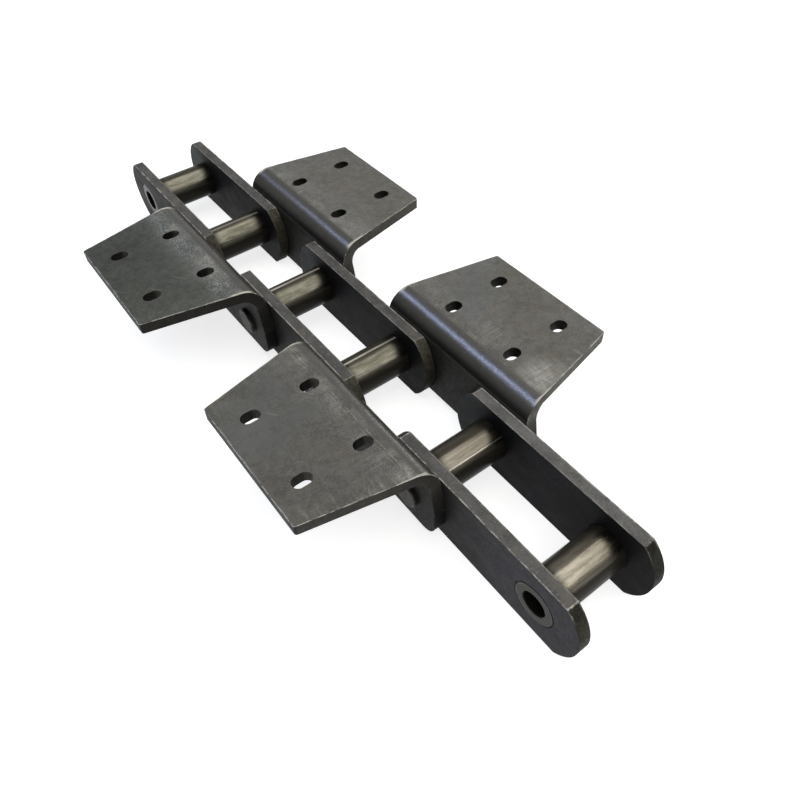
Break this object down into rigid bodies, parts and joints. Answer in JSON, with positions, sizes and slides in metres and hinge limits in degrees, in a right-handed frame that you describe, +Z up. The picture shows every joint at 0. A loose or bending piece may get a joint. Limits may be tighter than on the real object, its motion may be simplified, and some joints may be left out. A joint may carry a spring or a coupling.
{
  "type": "conveyor chain",
  "caption": "Heavy steel bushed conveyor chain: straight inner links alternate with outer links whose side plates bend out into wide slotted attachment flanges, hinged at riveted pins.",
  "frame": {"origin": "under the centre of the middle inner link, on the plane of the inner plates' lower edges", "axes": "+X across the chain, along the pins; +Y along the chain from the near end to the far end; +Z up, the side the flanges are on"},
  "size_m": [0.366, 0.8628, 0.1025],
  "materials": {
    "plate_steel": "oiled mill-black steel with bare sheared edges",
    "attachment_steel": "oiled mill-black steel, brown-grey mottling, worn edges",
    "bush_steel": "ground bare steel",
    "pin_steel": "oiled dark steel, upset ends"
  },
  "bodies": {
    "near_inner_link": {"near_inner_left_plate": "plate_steel", "near_inner_right_plate": "plate_steel", "near_inner_end_bush": "bush_steel", "near_inner_joint_bush": "bush_steel"},
    "near_outer_link": {"near_outer_left_attachment": "attachment_steel", "near_outer_right_attachment": "attachment_steel", "near_outer_near_pin": "pin_steel", "near_outer_far_pin": "pin_steel"},
    "middle_inner_link": {"middle_inner_left_plate": "plate_steel", "middle_inner_right_plate": "plate_steel", "middle_inner_near_bush": "bush_steel", "middle_inner_far_bush": "bush_steel"},
    "far_outer_link": {"far_outer_left_attachment": "attachment_steel", "far_outer_right_attachment": "attachment_steel", "far_outer_near_pin": "pin_steel", "far_outer_far_pin": "pin_steel"},
    "far_inner_link": {"far_inner_left_plate": "plate_steel", "far_inner_right_plate": "plate_steel", "far_inner_joint_bush": "bush_steel", "far_inner_end_bush": "bush_steel"}
  },
  "joints": [
    {"name": "near_outer_hinge", "type": "hinge", "parent": "middle_inner_link", "child": "near_outer_link", "pos_m": [0, -0.0762, 0.0405], "axis": [-1, 0, 0], "range_deg": [-60, 60]},
    {"name": "near_inner_hinge", "type": "hinge", "parent": "near_outer_link", "child": "near_inner_link", "pos_m": [0, -0.2286, 0.0405], "axis": [-1, 0, 0], "range_deg": [-60, 60]},
    {"name": "far_outer_hinge", "type": "hinge", "parent": "middle_inner_link", "child": "far_outer_link", "pos_m": [0, 0.0762, 0.0405], "axis": [1, 0, 0], "range_deg": [-60, 60]},
    {"name": "far_inner_hinge", "type": "hinge", "parent": "far_outer_link", "child": "far_inner_link", "pos_m": [0, 0.2286, 0.0405], "axis": [1, 0, 0], "range_deg": [-60, 60]}
  ]
}
